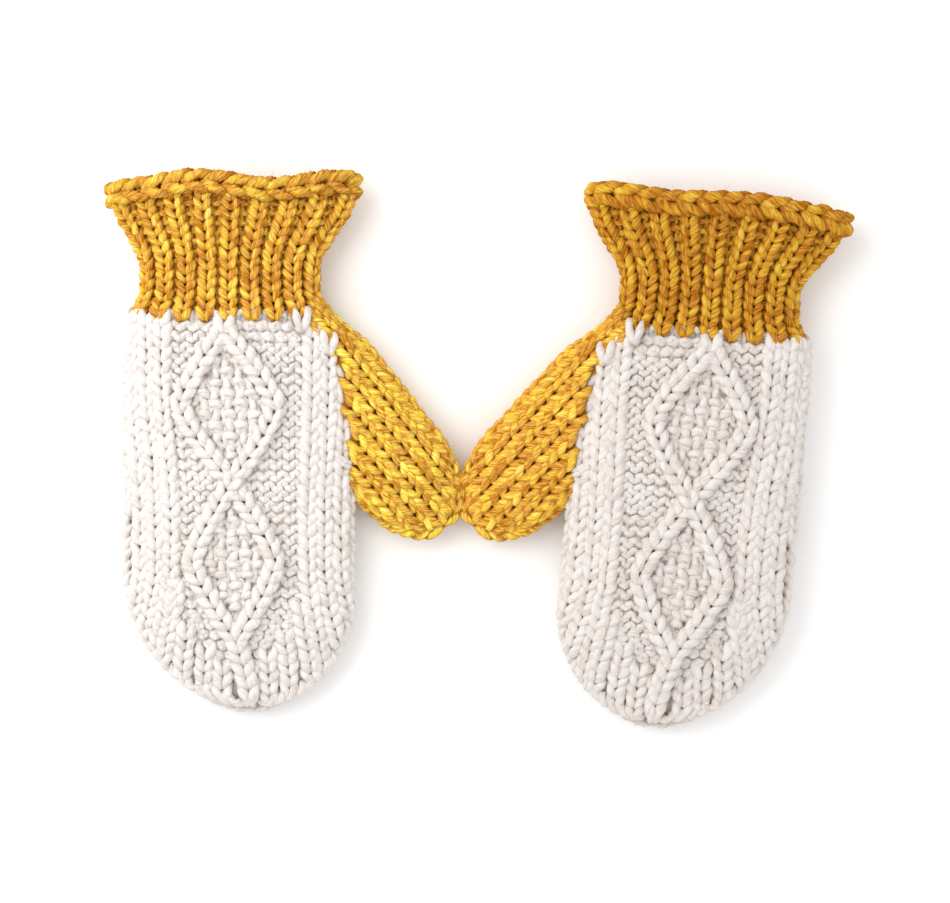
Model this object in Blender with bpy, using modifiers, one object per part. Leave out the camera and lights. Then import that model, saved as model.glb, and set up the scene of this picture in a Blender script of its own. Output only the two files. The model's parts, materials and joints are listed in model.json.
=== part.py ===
"""A pair of convertible flip-top mittens in chunky hand-knit wool.

The pair lies flat with the palms on the table and the backs of the hands up: +Z is up, the cuffs
point to +Y, and the thumbs point inwards. Each mitten is drawn once in its own frame, with the
origin at the middle of the wrist and the thumb on the +X side, then placed or mirrored. The palm
side of the hand ends in a ribbed finger opening, and a fingertip cap hinged across the knuckles
covers it. Sizes are in metres.
"""

import math

import bmesh
import bpy
from mathutils import Matrix, Vector

# Driving sizes of one mitten
HAND_LENGTH = 0.186
HAND_WIDTH = 0.108
HAND_HEIGHT = 0.028
CUFF_LENGTH = 0.0605
WRIST_WIDTH = 0.089
CUFF_MOUTH_WIDTH = 0.127
CUFF_HEIGHT = 0.027
THUMB_WIDTH = 0.050
THUMB_HEIGHT = 0.023
THUMB_LENGTH = 0.037
THUMB_ANGLE = math.radians(52.0)
CROTCH_DROP = 0.087
HINGE_DROP = 0.096
LIP_LENGTH = 0.020
RIB_LENGTH = 0.0155
RIB_REACH = 0.012

# Thickness of the knitted layers, and the clearances between them
WALL = 0.005
CUFF_WALL = 0.0065
RIB_WALL = 0.004
EDGE_CHAIN = 0.0055
SEAM_GAP = 0.0003
LAYER_GAP = 0.0006
TABLE_FLAT = 0.0025
RIB_EASE = 0.5 * WALL

# Shape of the fingertip: how far up each side the rounding starts, and where the tip sits
PINKY_ROUND = 0.066
INDEX_ROUND = 0.052
TIP_OFFSET = 0.006
CUFF_OFFSET = -0.004
MOUTH_OFFSET = -0.0022
PINKY_WRIST_TAPER = 0.001
INDEX_WRIST_TAPER = 0.008
WRIST_EASE = 0.018

# Motion: the cap's hinge line lies just above the cables, the thumb turns about its own root
HINGE_LIFT = 0.006
THUMB_ROOT = 0.34 * THUMB_WIDTH
THUMB_SWING = math.radians(24.0)

# The second mitten lies beside the first, thumb to thumb
THUMB_GAP = 0.0010
PAIR_DROP = 0.0084
PAIR_TURN = math.radians(5.0)

RING_POINTS = 32
ROUNDNESS = 2.6
YELLOW = (0.62, 0.33, 0.045, 1.0)
CREAM = (0.90, 0.86, 0.82, 1.0)


def material(name, colour):
    """A dull wool: no metal, almost no gloss."""
    wool = bpy.data.materials.new(name)
    wool.use_nodes = True
    shader = wool.node_tree.nodes["Principled BSDF"]
    shader.inputs["Base Color"].default_value = colour
    shader.inputs["Roughness"].default_value = 0.9
    shader.inputs["Metallic"].default_value = 0.0
    return wool


def smooth(low, high, value):
    """0 below low, 1 above high, with an eased rise between."""
    share = min(max((value - low) / (high - low), 0.0), 1.0)
    return share * share * (3.0 - 2.0 * share)


def spread(first, last, count):
    return [first + (last - first) * i / (count - 1) for i in range(count)]


def pinky_edge(y):
    """Outer edge of the hand on the little finger's side."""
    into_round = (-y - (HAND_LENGTH - PINKY_ROUND)) / PINKY_ROUND
    half = HAND_WIDTH / 2
    if into_round <= 0:
        return -half + PINKY_WRIST_TAPER * smooth(-WRIST_EASE, 0.0, y)
    return TIP_OFFSET - (half + TIP_OFFSET) * math.sqrt(max(1 - into_round**2, 0.0))


def index_edge(y):
    """Outer edge of the hand on the forefinger's side."""
    into_round = (-y - (HAND_LENGTH - INDEX_ROUND)) / INDEX_ROUND
    half = HAND_WIDTH / 2
    if into_round <= 0:
        return half - INDEX_WRIST_TAPER * smooth(-WRIST_EASE, 0.0, y)
    return TIP_OFFSET + (half - TIP_OFFSET) * math.sqrt(max(1 - into_round**2, 0.0))


def table_level(y):
    """The hand's palm lifts off the table where the cap's lip lies under it."""
    lip_end = -HINGE_DROP + LIP_LENGTH
    return (WALL + LAYER_GAP) * (1 - smooth(lip_end + 0.002, lip_end + 0.016, y))


def hand_top(y):
    """The mitten thins towards the fingertips."""
    return HAND_HEIGHT - 0.006 * smooth(0.55 * HAND_LENGTH, HAND_LENGTH, -y)


def section(left, right, bottom, top, grow=0.0):
    """A flattened round outline in x and z, its underside flat where it rests on the table."""
    centre = (left + right) / 2
    half = (right - left) / 2 + grow
    middle = (bottom + top) / 2
    rise = (top - bottom) / 2 + grow
    points = []
    for i in range(RING_POINTS):
        angle = 2 * math.pi * (i + 0.5) / RING_POINTS
        across = math.copysign(abs(math.cos(angle)) ** (2 / ROUNDNESS), math.cos(angle))
        up = math.copysign(abs(math.sin(angle)) ** (2 / ROUNDNESS), math.sin(angle))
        height = middle + up * (rise if up > 0 else rise + TABLE_FLAT)
        points.append((centre + half * across, max(height, middle - rise)))
    return points


def closed_loft(name, rings, collection):
    """A solid through rings of equal point counts, closed by a face at each end."""
    mesh = bpy.data.meshes.new(name)
    shape = bmesh.new()
    rows = [[shape.verts.new(point) for point in ring] for ring in rings]
    count = len(rows[0])
    for near, far in zip(rows, rows[1:]):
        for i in range(count):
            j = (i + 1) % count
            shape.faces.new((near[i], near[j], far[j], far[i]))
    shape.faces.new(list(reversed(rows[0])))
    shape.faces.new(rows[-1])
    bmesh.ops.recalc_face_normals(shape, faces=shape.faces)
    shape.to_mesh(mesh)
    shape.free()
    solid = bpy.data.objects.new(name, mesh)
    collection.objects.link(solid)
    return solid


def ring_tube(name, outer, inner, collection):
    """An open-ended tube: outer and inner rings joined at both mouths."""
    mesh = bpy.data.meshes.new(name)
    shape = bmesh.new()
    skins = [[[shape.verts.new(point) for point in ring] for ring in rings] for rings in (outer, inner)]
    count = len(outer[0])
    for skin in skins:
        for near, far in zip(skin, skin[1:]):
            for i in range(count):
                j = (i + 1) % count
                shape.faces.new((near[i], near[j], far[j], far[i]))
    for end in (0, -1):
        for i in range(count):
            j = (i + 1) % count
            shape.faces.new((skins[0][end][i], skins[0][end][j], skins[1][end][j], skins[1][end][i]))
    bmesh.ops.recalc_face_normals(shape, faces=shape.faces)
    shape.to_mesh(mesh)
    shape.free()
    tube = bpy.data.objects.new(name, mesh)
    collection.objects.link(tube)
    return tube


def rings_along_y(stations, bounds):
    """Rings of points at each station; bounds(y) gives left, right, bottom, top and growth."""
    return [[(x, y, z) for x, z in section(*bounds(y))] for y in stations]


def hand_pillow(name, first, last, inset, collection):
    """The hand as a closed pillow from one station to another, drawn in by inset on all sides."""
    tip = -(HAND_LENGTH - inset)
    last = max(last, tip + 0.0005)
    turn = -(HAND_LENGTH - PINKY_ROUND)
    stations = [first]
    lip_end = -HINGE_DROP + LIP_LENGTH
    straight = (0.0, -0.5 * WRIST_EASE, -WRIST_EASE, lip_end + 0.016, lip_end + 0.009, lip_end + 0.002, turn)
    stations += [y for y in straight if last + 0.002 < y < first - 0.002]
    if last < turn:
        steps = 7
        reach = tip - turn
        for i in range(1, steps + 1):
            stations.append(turn + reach * math.sin(0.5 * math.pi * i / (steps + 0.25)))
    if last > stations[-1] + 0.0005 or last < stations[-1] - 0.0005:
        stations = [y for y in stations if y > last + 0.0005] + [last]

    def bounds(y):
        reach = (HAND_LENGTH - PINKY_ROUND + 0.0001) if inset else 0.0
        scale = (HAND_LENGTH - reach) / (HAND_LENGTH - inset - reach) if inset else 1.0
        deep = -reach + (y + reach) * scale if inset and -y > reach else y
        left = pinky_edge(deep) + inset
        right = index_edge(deep) - inset
        closing = smooth(0.0, 0.045, HAND_LENGTH - inset + y)
        low = table_level(y) + inset
        high = hand_top(y) - inset
        middle = low + 0.42 * (high - low)
        if left > right - 0.002:
            centre = (left + right) / 2
            left, right = centre - 0.001, centre + 0.001
        squeeze = 0.35 + 0.65 * closing
        return left, right, middle - (middle - low) * squeeze, middle + (high - middle) * squeeze

    return closed_loft(name, rings_along_y(stations, bounds), collection)


def box(name, low, high, collection):
    """A plain block between two corners."""
    bpy.ops.mesh.primitive_cube_add(size=1)
    block = bpy.context.object
    block.name = name
    corners = Vector(low), Vector(high)
    size = corners[1] - corners[0]
    block.data.transform(Matrix.Translation((corners[0] + corners[1]) / 2) @ Matrix.Diagonal((*size, 1)))
    move_to(block, collection)
    return block


def disc(name, centre, radius, collection):
    """An upright round cutter, tall enough to pass through the whole mitten."""
    bpy.ops.mesh.primitive_cylinder_add(vertices=48, radius=radius, depth=0.2)
    round_block = bpy.context.object
    round_block.name = name
    round_block.data.transform(Matrix.Translation((centre[0], centre[1], 0.0)))
    move_to(round_block, collection)
    return round_block


def move_to(thing, collection):
    for other in list(thing.users_collection):
        other.objects.unlink(thing)
    collection.objects.link(thing)


def hide(cutter):
    cutter.hide_render = True
    cutter.display_type = "WIRE"


def boolean(target, cutter, operation="DIFFERENCE"):
    cut = target.modifiers.new(cutter.name, "BOOLEAN")
    cut.operation = operation
    cut.object = cutter
    cut.solver = "EXACT"
    hide(cutter)


def seam_height():
    """The sides of the back and the palm meet at mid height."""
    return HAND_HEIGHT / 2


FAR = 0.5


def back_half(target, level, cutters):
    """Keep what lies above the side seam."""
    boolean(target, box(target.name + "_under", (-FAR, -FAR, -FAR), (FAR, FAR, level), cutters))


def palm_half(target, level, cutters):
    """Keep what lies below the side seam."""
    boolean(target, box(target.name + "_over", (-FAR, -FAR, level), (FAR, FAR, FAR), cutters))


def thumb_frame():
    """Direction of the thumb, its sideways direction, and the middle of its root."""
    along = Vector((math.cos(THUMB_ANGLE), -math.sin(THUMB_ANGLE), 0.0))
    side = Vector((-along.y, along.x, 0.0))
    crotch = Vector((HAND_WIDTH / 2 - LAYER_GAP, -CROTCH_DROP, 0.0))
    root = crotch + side * (THUMB_WIDTH / 2)
    return along, side, root


def thumb_pivot():
    along, side, root = thumb_frame()
    return root + along * 0.004


def thumb_pillow(name, first, last, inset, collection):
    """The thumb and its gusset as one closed pillow along the thumb, drawn in by inset."""
    along, side, root = thumb_frame()
    stations = [first, -0.02, 0.0] if first < -0.02 else [first]
    if last >= THUMB_LENGTH:
        for i in range(1, 8):
            stations.append((THUMB_LENGTH - inset) * math.sin(0.5 * math.pi * i / 7.3))
    else:
        stations = [s for s in stations if s < last] + [last]
    rings = []
    for s in stations:
        share = min(max(s / (THUMB_LENGTH - inset), 0.0), 0.999)
        narrow = (1 - share**2.2) ** (1 / 2.2)
        half = (THUMB_WIDTH / 2 - inset) * narrow
        blunt = 0.4 + 0.6 * smooth(0.0, 0.03, THUMB_LENGTH - inset - s)
        top = THUMB_HEIGHT + (HAND_HEIGHT - 0.002 - THUMB_HEIGHT) * smooth(-0.01, -0.06, s)
        high = top - inset
        middle = inset + 0.42 * (high - inset)
        outline = section(-half, half, middle - (middle - inset) * blunt, middle + (high - middle) * blunt)
        rings.append([tuple(root + along * s + side * v + Vector((0, 0, z))) for v, z in outline])
    return closed_loft(name, rings, collection)


def wedge_cutter(name, collection):
    """The pie-shaped block beyond the root, its near faces slanted to leave room for the swing."""
    along, side, root = thumb_frame()
    pivot = thumb_pivot()
    reach = 0.2
    slope = math.tan(THUMB_SWING)
    start = 0.0005
    corners = [(start, 0.0), (start + reach * slope, reach), (reach * 2, reach), (reach * 2, -reach),
               (start + reach * slope, -reach)]
    rings = []
    for z in (-0.1, 0.1):
        rings.append([tuple(pivot + along * s + side * v + Vector((0, 0, z))) for s, v in corners])
    return closed_loft(name, rings, collection)


def make_cuff(prefix, parts, cutters):
    """The ribbed cuff: narrow at the wrist, flaring to a wide mouth."""
    def width(y):
        return WRIST_WIDTH + (CUFF_MOUTH_WIDTH - WRIST_WIDTH) * smooth(0.35 * CUFF_LENGTH, 0.86 * CUFF_LENGTH, y)

    def bounds(inset):
        def at(y):
            centre = CUFF_OFFSET + (MOUTH_OFFSET - CUFF_OFFSET) * smooth(0.4 * CUFF_LENGTH, CUFF_LENGTH, y)
            half = width(y) / 2 + 0.006 * smooth(0.012, 0.0, y) - inset
            top = CUFF_HEIGHT + 0.003 * smooth(0.5 * CUFF_LENGTH, CUFF_LENGTH, y)
            return centre - half, centre + half, inset, top - inset
        return at

    stations = spread(SEAM_GAP, CUFF_LENGTH, 9)
    outer = rings_along_y(stations, bounds(0.0))
    inner = rings_along_y(stations, bounds(CUFF_WALL))
    cuff = ring_tube(prefix + "cuff", outer, inner, parts)
    chain_outer = rings_along_y(spread(CUFF_LENGTH + SEAM_GAP, CUFF_LENGTH + EDGE_CHAIN, 3), bounds(0.0))
    chain_inner = rings_along_y(spread(CUFF_LENGTH + SEAM_GAP, CUFF_LENGTH + EDGE_CHAIN, 3), bounds(CUFF_WALL))
    edge = ring_tube(prefix + "cuff_edge", chain_outer, chain_inner, parts)
    return [cuff, edge]


def make_hand(prefix, parts, cutters):
    """The hand's back and palm, each half of one hollow pillow, open at the wrist and the fingers."""
    thumb_way = thumb_pillow(prefix + "thumb_way", -0.045, 0.02, WALL, cutters)
    halves = []
    for name, keep in (("hand_back", back_half), ("hand_palm", palm_half)):
        half = hand_pillow(prefix + name, 0.0, -HINGE_DROP, 0.0, parts)
        if name == "hand_palm":
            boolean(half, box(prefix + "rib_room", (-FAR, -FAR, -FAR),
                              (FAR, -HINGE_DROP + RIB_LENGTH + SEAM_GAP, FAR), cutters))
        hollow = hand_pillow(prefix + name + "_hollow", 0.01, -HINGE_DROP - 0.01, WALL, cutters)
        boolean(half, hollow)
        level = seam_height() + (0.0 if keep is back_half else -SEAM_GAP)
        keep(half, level, cutters)
        boolean(half, thumb_way)
        halves.append(half)
    return halves


def make_gusset_and_thumb(prefix, parts, cutters):
    """The gusset widens from the wrist to the thumb's root; the thumb turns about that root."""
    pivot = thumb_pivot()
    room = hand_pillow(prefix + "hand_room", 0.02, -HINGE_DROP - 0.05, -LAYER_GAP, cutters)
    wrist_room = box(prefix + "wrist_room", (-FAR, -SEAM_GAP, -FAR), (FAR, FAR, FAR), cutters)

    gusset = thumb_pillow(prefix + "thumb_gusset", -0.072, 0.0035, 0.0, parts)
    boolean(gusset, thumb_pillow(prefix + "gusset_hollow", -0.066, 0.02, WALL, cutters))
    boolean(gusset, room)
    boolean(gusset, wrist_room)
    boolean(gusset, box(prefix + "lip_room", (-FAR, -HINGE_DROP - 0.05, -FAR),
                        (HAND_WIDTH / 2, -HINGE_DROP + LIP_LENGTH + LAYER_GAP, WALL + LAYER_GAP), cutters))
    boolean(gusset, disc(prefix + "root_room", pivot, THUMB_ROOT + LAYER_GAP, cutters))

    thumb = thumb_pillow(prefix + "thumb", -THUMB_ROOT, THUMB_LENGTH, 0.0, parts)
    boolean(thumb, thumb_pillow(prefix + "thumb_hollow", -0.03, THUMB_LENGTH, WALL, cutters))
    keep = wedge_cutter(prefix + "thumb_keep", cutters)
    boolean(keep, disc(prefix + "root_keep", pivot, THUMB_ROOT, cutters), "UNION")
    boolean(thumb, keep, "INTERSECT")
    return [gusset, thumb]


def make_finger_rib(prefix, parts):
    """The ribbed band around the finger opening, slanted so that it tucks under the back."""
    top_start = -HINGE_DROP
    low = table_level(-HINGE_DROP) + SEAM_GAP
    high = HAND_HEIGHT - WALL - LAYER_GAP
    lean = (RIB_REACH) / (high - low)
    start = -HINGE_DROP + RIB_LENGTH

    def ring(y, inset):
        side = WALL + RIB_EASE + inset
        outline = section(pinky_edge(top_start) + side, index_edge(top_start) - side, low + inset, high - inset)
        return [(x, y - lean * (z - low), z) for x, z in outline]

    stations = spread(start, start - RIB_LENGTH, 3)
    outer = [ring(y, 0.0) for y in stations]
    inner = [ring(y, RIB_WALL) for y in stations]
    return ring_tube(prefix + "finger_rib", outer, inner, parts)


def make_cap(prefix, parts, cutters):
    """The fingertip cap: its back continues the hand's back, its palm ends in a ribbed lip."""
    start = -HINGE_DROP - LAYER_GAP
    pieces = []
    for name, keep in (("flap_back", back_half), ("flap_palm", palm_half)):
        half = cap_pillow(prefix + name, start, 0.0, parts)
        boolean(half, cap_pillow(prefix + name + "_hollow", start + 0.01, WALL, cutters))
        keep(half, seam_height() + (0.0 if keep is back_half else -SEAM_GAP), cutters)
        pieces.append(half)
    lip_half = HAND_WIDTH / 2 - WALL
    lip = box(prefix + "flap_lip", (-lip_half, start + SEAM_GAP, 0.0),
              (lip_half, -HINGE_DROP + LIP_LENGTH, WALL), parts)
    rounding = lip.modifiers.new("rounding", "BEVEL")
    rounding.width = 0.0012
    rounding.segments = 2
    pieces.append(lip)
    return pieces


def cap_pillow(name, first, inset, collection):
    """The closed fingertip end of the hand's pillow, lying flat on the table."""
    length = HAND_LENGTH - inset
    turn = -(HAND_LENGTH - PINKY_ROUND)
    stations = [first, turn]
    for i in range(1, 9):
        stations.append(turn + (-length - turn) * math.sin(0.5 * math.pi * i / 8.25))

    def bounds(y):
        stretch = (HAND_LENGTH + turn) / (length + turn)
        deep = turn + (y - turn) * stretch if y < turn else y
        left = pinky_edge(deep) + inset
        right = max(index_edge(deep) - inset, left + 0.002)
        closing = 0.4 + 0.6 * smooth(0.0, 0.04, length + y)
        high = hand_top(y) - inset
        middle = inset + 0.42 * (high - inset)
        return left, right, middle - (middle - inset) * closing, middle + (high - middle) * closing

    return closed_loft(name, rings_along_y(stations, bounds), collection)


def set_origin(thing, point):
    """Put an object's origin on its joint's axis without moving its shape."""
    thing.data.transform(Matrix.Translation(-Vector(point)))
    thing.location = Vector(point)


def make_mitten(prefix, parts, cutters):
    """All the pieces of one mitten, thumb on +X."""
    yellow = material(prefix + "yellow_wool", YELLOW)
    cream = material(prefix + "cream_wool", CREAM)
    cuff = make_cuff(prefix, parts, cutters)
    hand = make_hand(prefix, parts, cutters)
    thumb = make_gusset_and_thumb(prefix, parts, cutters)
    rib = make_finger_rib(prefix, parts)
    cap = make_cap(prefix, parts, cutters)
    for piece in cuff + thumb:
        piece.data.materials.append(yellow)
    for piece in hand + [rib] + cap:
        piece.data.materials.append(cream)
    return cuff + hand + thumb + [rib] + cap


def hinge_point():
    return Vector((0.0, -HINGE_DROP, HAND_HEIGHT + HINGE_LIFT))


def place_mitten(prefix, pieces, cutters, mirror, spot, turn):
    """Bake mirroring into the meshes, then set the whole mitten down at its spot."""
    frame = Matrix.Translation(spot) @ Matrix.Rotation(turn, 4, "Z")
    if mirror:
        frame = frame @ Matrix.Diagonal((-1, 1, 1, 1))
    own = pieces + [c for c in cutters.objects if c.name.startswith(prefix)]
    for thing in own:
        thing.data.transform(frame)
        if mirror:
            thing.data.flip_normals()
    for piece in pieces:
        if "flap" in piece.name:
            set_origin(piece, frame @ hinge_point())
        elif piece.name == prefix + "thumb":
            set_origin(piece, frame @ thumb_pivot())


def thumb_reach(thumb, turn):
    """How far a thumb sticks out sideways from the middle of its wrist once the mitten is turned."""
    return max(vertex.co.x * math.cos(turn) - vertex.co.y * math.sin(turn) for vertex in thumb.data.vertices)


def centre_pair(parts, cutters):
    """Move everything so that the pair's box is centred over the origin and rests on z = 0."""
    bpy.context.view_layer.update()
    depsgraph = bpy.context.evaluated_depsgraph_get()
    corners = []
    for piece in parts.objects:
        shape = piece.evaluated_get(depsgraph)
        corners += [shape.matrix_world @ vertex.co for vertex in shape.data.vertices]
    low = Vector([min(c[k] for c in corners) for k in range(3)])
    high = Vector([max(c[k] for c in corners) for k in range(3)])
    shift = Vector((-(low.x + high.x) / 2, -(low.y + high.y) / 2, -low.z))
    for thing in list(parts.objects) + list(cutters.objects):
        thing.location = thing.location + shift


def new_collection(name):
    collection = bpy.data.collections.new(name)
    bpy.context.scene.collection.children.link(collection)
    return collection


def build():
    for thing in list(bpy.data.objects):
        bpy.data.objects.remove(thing, do_unlink=True)
    parts = new_collection("flip_top_mittens")
    cutters = new_collection("cutters")
    right = make_mitten("right_", parts, cutters)
    left = make_mitten("left_", parts, cutters)
    pitch = thumb_reach(right[5], 0.0) + thumb_reach(left[5], PAIR_TURN) + THUMB_GAP
    half_pitch = pitch / 2
    place_mitten("right_", right, cutters, False, Vector((-half_pitch, PAIR_DROP / 2, 0.0)), 0.0)
    place_mitten("left_", left, cutters, True, Vector((half_pitch, -PAIR_DROP / 2, 0.0)), -PAIR_TURN)
    centre_pair(parts, cutters)


build()
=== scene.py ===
import json
import math

import bpy
import numpy as np
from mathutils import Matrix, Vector


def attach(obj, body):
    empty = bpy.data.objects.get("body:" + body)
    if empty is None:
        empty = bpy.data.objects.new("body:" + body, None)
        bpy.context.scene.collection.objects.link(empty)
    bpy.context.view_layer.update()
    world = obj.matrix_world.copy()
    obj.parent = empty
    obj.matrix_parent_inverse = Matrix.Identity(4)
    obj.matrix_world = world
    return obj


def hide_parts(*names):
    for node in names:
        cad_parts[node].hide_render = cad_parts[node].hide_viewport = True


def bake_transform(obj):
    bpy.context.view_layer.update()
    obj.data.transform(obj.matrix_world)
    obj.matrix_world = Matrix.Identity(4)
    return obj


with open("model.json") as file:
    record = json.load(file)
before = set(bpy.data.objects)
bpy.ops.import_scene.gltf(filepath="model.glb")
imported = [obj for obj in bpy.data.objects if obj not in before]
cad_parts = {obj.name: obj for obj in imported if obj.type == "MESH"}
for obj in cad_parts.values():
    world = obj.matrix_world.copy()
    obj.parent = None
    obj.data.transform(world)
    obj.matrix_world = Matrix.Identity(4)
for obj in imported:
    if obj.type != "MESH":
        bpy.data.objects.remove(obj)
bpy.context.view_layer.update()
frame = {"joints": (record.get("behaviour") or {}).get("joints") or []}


# ------------------------------------------------------------
# Camera, table and light.
# The pair lies on a plain white table and is seen from straight above, under broad soft light
# from a window side and a white room.

FRAME_WIDTH = 0.4456
CAMERA_HEIGHT = 1.5
FOCUS_HEIGHT = 0.02
FILM_WIDTH = 36.0
FRAME_MIDDLE = (0.0004, -0.0028)

scene = bpy.context.scene
scene.view_settings.view_transform = "Standard"
camera_data = bpy.data.cameras.new("camera")
camera_data.sensor_width = FILM_WIDTH
camera_data.lens = FILM_WIDTH * (CAMERA_HEIGHT - FOCUS_HEIGHT) / FRAME_WIDTH
camera = bpy.data.objects.new("camera", camera_data)
camera.location = (*FRAME_MIDDLE, CAMERA_HEIGHT)
scene.collection.objects.link(camera)
scene.camera = camera


def soft_light(name, place, size, power, colour):
    """A square soft box that faces the middle of the table."""
    lamp = bpy.data.lights.new(name, "AREA")
    lamp.size = size
    lamp.energy = power
    lamp.color = colour
    holder = bpy.data.objects.new(name, lamp)
    holder.location = place
    holder.rotation_euler = (-Vector(place)).to_track_quat("-Z", "Y").to_euler()
    scene.collection.objects.link(holder)


soft_light("window", (-0.54, 0.32, 0.60), 0.9, 5.6, (1.0, 0.985, 0.96))
soft_light("reflector", (1.2, -0.7, 1.1), 1.2, 4.0, (1.0, 1.0, 1.0))

room = bpy.data.worlds.new("white_room")
room.use_nodes = True
walls = room.node_tree.nodes["Background"].inputs
walls["Color"].default_value = (1.0, 0.99, 0.98, 1.0)
walls["Strength"].default_value = 0.90
scene.world = room

bpy.ops.mesh.primitive_plane_add(size=6.0)
table = bpy.context.object
table.name = "table"
table_paint = bpy.data.materials.new("table_paint")
table_paint.use_nodes = True
paint = table_paint.node_tree.nodes["Principled BSDF"]
paint.inputs["Base Color"].default_value = (0.97, 0.97, 0.97, 1.0)
paint.inputs["Roughness"].default_value = 0.8
table.data.materials.append(table_paint)


# ------------------------------------------------------------
# Where each mitten lies.
# Both are drawn in one frame, wrist at the origin, fingers to -Y and thumb to +X. The fold of the
# cap gives the place and the turn of each mitten on the table.

HINGE_DROP = 0.096
CROTCH_DROP = 0.087
SIDES = ("right", "left")


def find_places():
    places = {}
    for joint in frame["joints"]:
        side, _, kind = joint["name"].partition("_")
        if kind != "flap_hinge":
            continue
        hinge = np.array(joint["pos_m"])
        axis = np.array(joint["axis"])
        along = np.array((axis[1], -axis[0], 0.0))
        along /= np.linalg.norm(along)
        across = axis / np.linalg.norm(axis) * (-1.0 if side == "right" else 1.0)
        wrist = np.array((hinge[0], hinge[1], 0.0)) + along * HINGE_DROP
        places[side] = (wrist, across, along)
    return places


PLACES = find_places()


def to_table(side, points):
    """Points of the shared drawing frame, put where that side's mitten lies."""
    wrist, across, along = PLACES[side]
    points = np.asarray(points)
    flat = points[..., 0:1] * across + points[..., 1:2] * along
    return wrist + flat + points[..., 2:3] * np.array((0.0, 0.0, 1.0))


# ------------------------------------------------------------
# The ribbed cuff.
# Marled mustard wool, knit one, purl one, in the round: knit columns stand up like braids, and
# the purl columns between them sink and show as small bumps where the mouth flares.

CUFF_LENGTH = 0.0605
CUFF_HEIGHT = 0.027
CUFF_WRIST = 0.0842
CUFF_MOUTH = {"right": (0.1172, 0.0018), "left": (0.1232, -0.0006)}
YARN = 0.00205


class Wool:
    """A wool's material while it is made: holds the node tree and adds nodes to it."""

    def __init__(self, name):
        self.material = bpy.data.materials.new(name)
        self.material.use_nodes = True
        self.tree = self.material.node_tree

    def node(self, kind, settings=None, output=0, **inputs):
        """One node: settings come first, then inputs by name, or by number as _0, _1."""
        made = self.tree.nodes.new(kind)
        for key, value in (settings or {}).items():
            if key == "stops":
                while len(made.color_ramp.elements) < len(value):
                    made.color_ramp.elements.new(0.5)
                for element, (at, colour) in zip(made.color_ramp.elements, value):
                    element.position = at
                    element.color = colour
            else:
                setattr(made, key, value)
        for key, value in inputs.items():
            self.feed(made.inputs[int(key[1:]) if key[1:].isdigit() else key.replace("_", " ")], value)
        return Value(self, made.outputs[output])

    def feed(self, socket, value):
        """Give a socket a link or a plain value."""
        if isinstance(value, Value):
            self.tree.links.new(value.socket, socket)
        else:
            socket.default_value = value

    def finished(self, colour, bump, roughness, specular):
        """The material, once its shader has all it needs."""
        inputs = self.tree.nodes["Principled BSDF"].inputs
        self.feed(inputs["Base Color"], colour)
        self.feed(inputs["Normal"], bump)
        self.feed(inputs["Roughness"], roughness)
        self.feed(inputs["Specular IOR Level"], specular)
        return self.material


class Value:
    """A socket that can be added, multiplied and so on like a number."""

    def __init__(self, wool, socket):
        self.wool = wool
        self.socket = socket

    def math(self, operation, first, second):
        return self.wool.node("ShaderNodeMath", {"operation": operation}, _0=first, _1=second)

    def __add__(self, other):
        return self.math("ADD", self, other)

    __radd__ = __add__

    def __mul__(self, other):
        return self.math("MULTIPLY", self, other)

    __rmul__ = __mul__

    def __sub__(self, other):
        return self.math("SUBTRACT", self, other)

    def __rsub__(self, other):
        return self.math("SUBTRACT", other, self)


def blend_colours(wool, share, first, second):
    """Mix two colours, each a link or a tuple, by a share from 0 to 1."""
    return wool.node("ShaderNodeMix", {"data_type": "RGBA"}, output=2, _0=share, _6=first, _7=second)


def spun_wool(name, shades, streak, deep, painted_shade_strength, fibre_depth):
    """Plied wool: thin streaks of several shades run along the fibres, and painted shade in a deep colour
    darkens the yarn's undersides and creases.
    """
    wool = Wool(name)
    fibre = wool.node("ShaderNodeAttribute", {"attribute_name": "fibre"}, output=1)
    tone = wool.node("ShaderNodeAttribute", {"attribute_name": "tone"}, output=2)
    hollow = wool.node("ShaderNodeAttribute", {"attribute_name": "hollow"}, output=2)
    streaks = wool.node("ShaderNodeTexNoise", _0=fibre, Scale=1.35, Detail=2.0, Roughness=0.6)
    patches = wool.node("ShaderNodeTexNoise", _0=fibre, Scale=0.30, Detail=1.0, Roughness=0.5)
    mixed = (streaks - 0.5) * streak + (patches - 0.5) * 0.55 + (tone - 0.5) * 0.20 + 0.5
    stops = tuple((at, (*colour, 1.0)) for at, colour in shades)
    colour = wool.node("ShaderNodeValToRGB", {"stops": stops}, _0=mixed)
    # Painted shade: the deep colour is mixed in by how much shade each point of the yarn was given.
    colour = blend_colours(wool, hollow * painted_shade_strength, colour, (*deep, 1.0))
    hair = wool.node("ShaderNodeTexNoise", _0=fibre, Scale=2.6, Detail=2.0, Roughness=0.6)
    height = streaks * 0.6 + hair * 0.4
    bump = wool.node("ShaderNodeBump", Strength=0.8, Distance=fibre_depth, Height=height)
    return wool.finished(colour, bump, roughness=0.88, specular=0.05)


def painted_light_copy(shades, share):
    """The same shades scaled in red, green and blue: a lighter or darker copy of one wool, to paint light or
    shade on it.
    """
    return tuple((at, tuple(part * by for part, by in zip(colour, share))) for at, colour in shades)


MUSTARD_SHADES = ((0.28, (0.43, 0.155, 0.006)), (0.39, (0.60, 0.265, 0.032)), (0.47, (0.70, 0.360, 0.105)),
                  (0.54, (0.72, 0.405, 0.026)), (0.63, (0.84, 0.55, 0.042)), (0.75, (0.91, 0.69, 0.155)))
# The deep colour of the painted shade on the mustard yarn's undersides and creases.
MUSTARD_PAINTED_SHADE = (0.34, 0.105, 0.003)
MUSTARD_FIBRE = 0.00045


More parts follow.
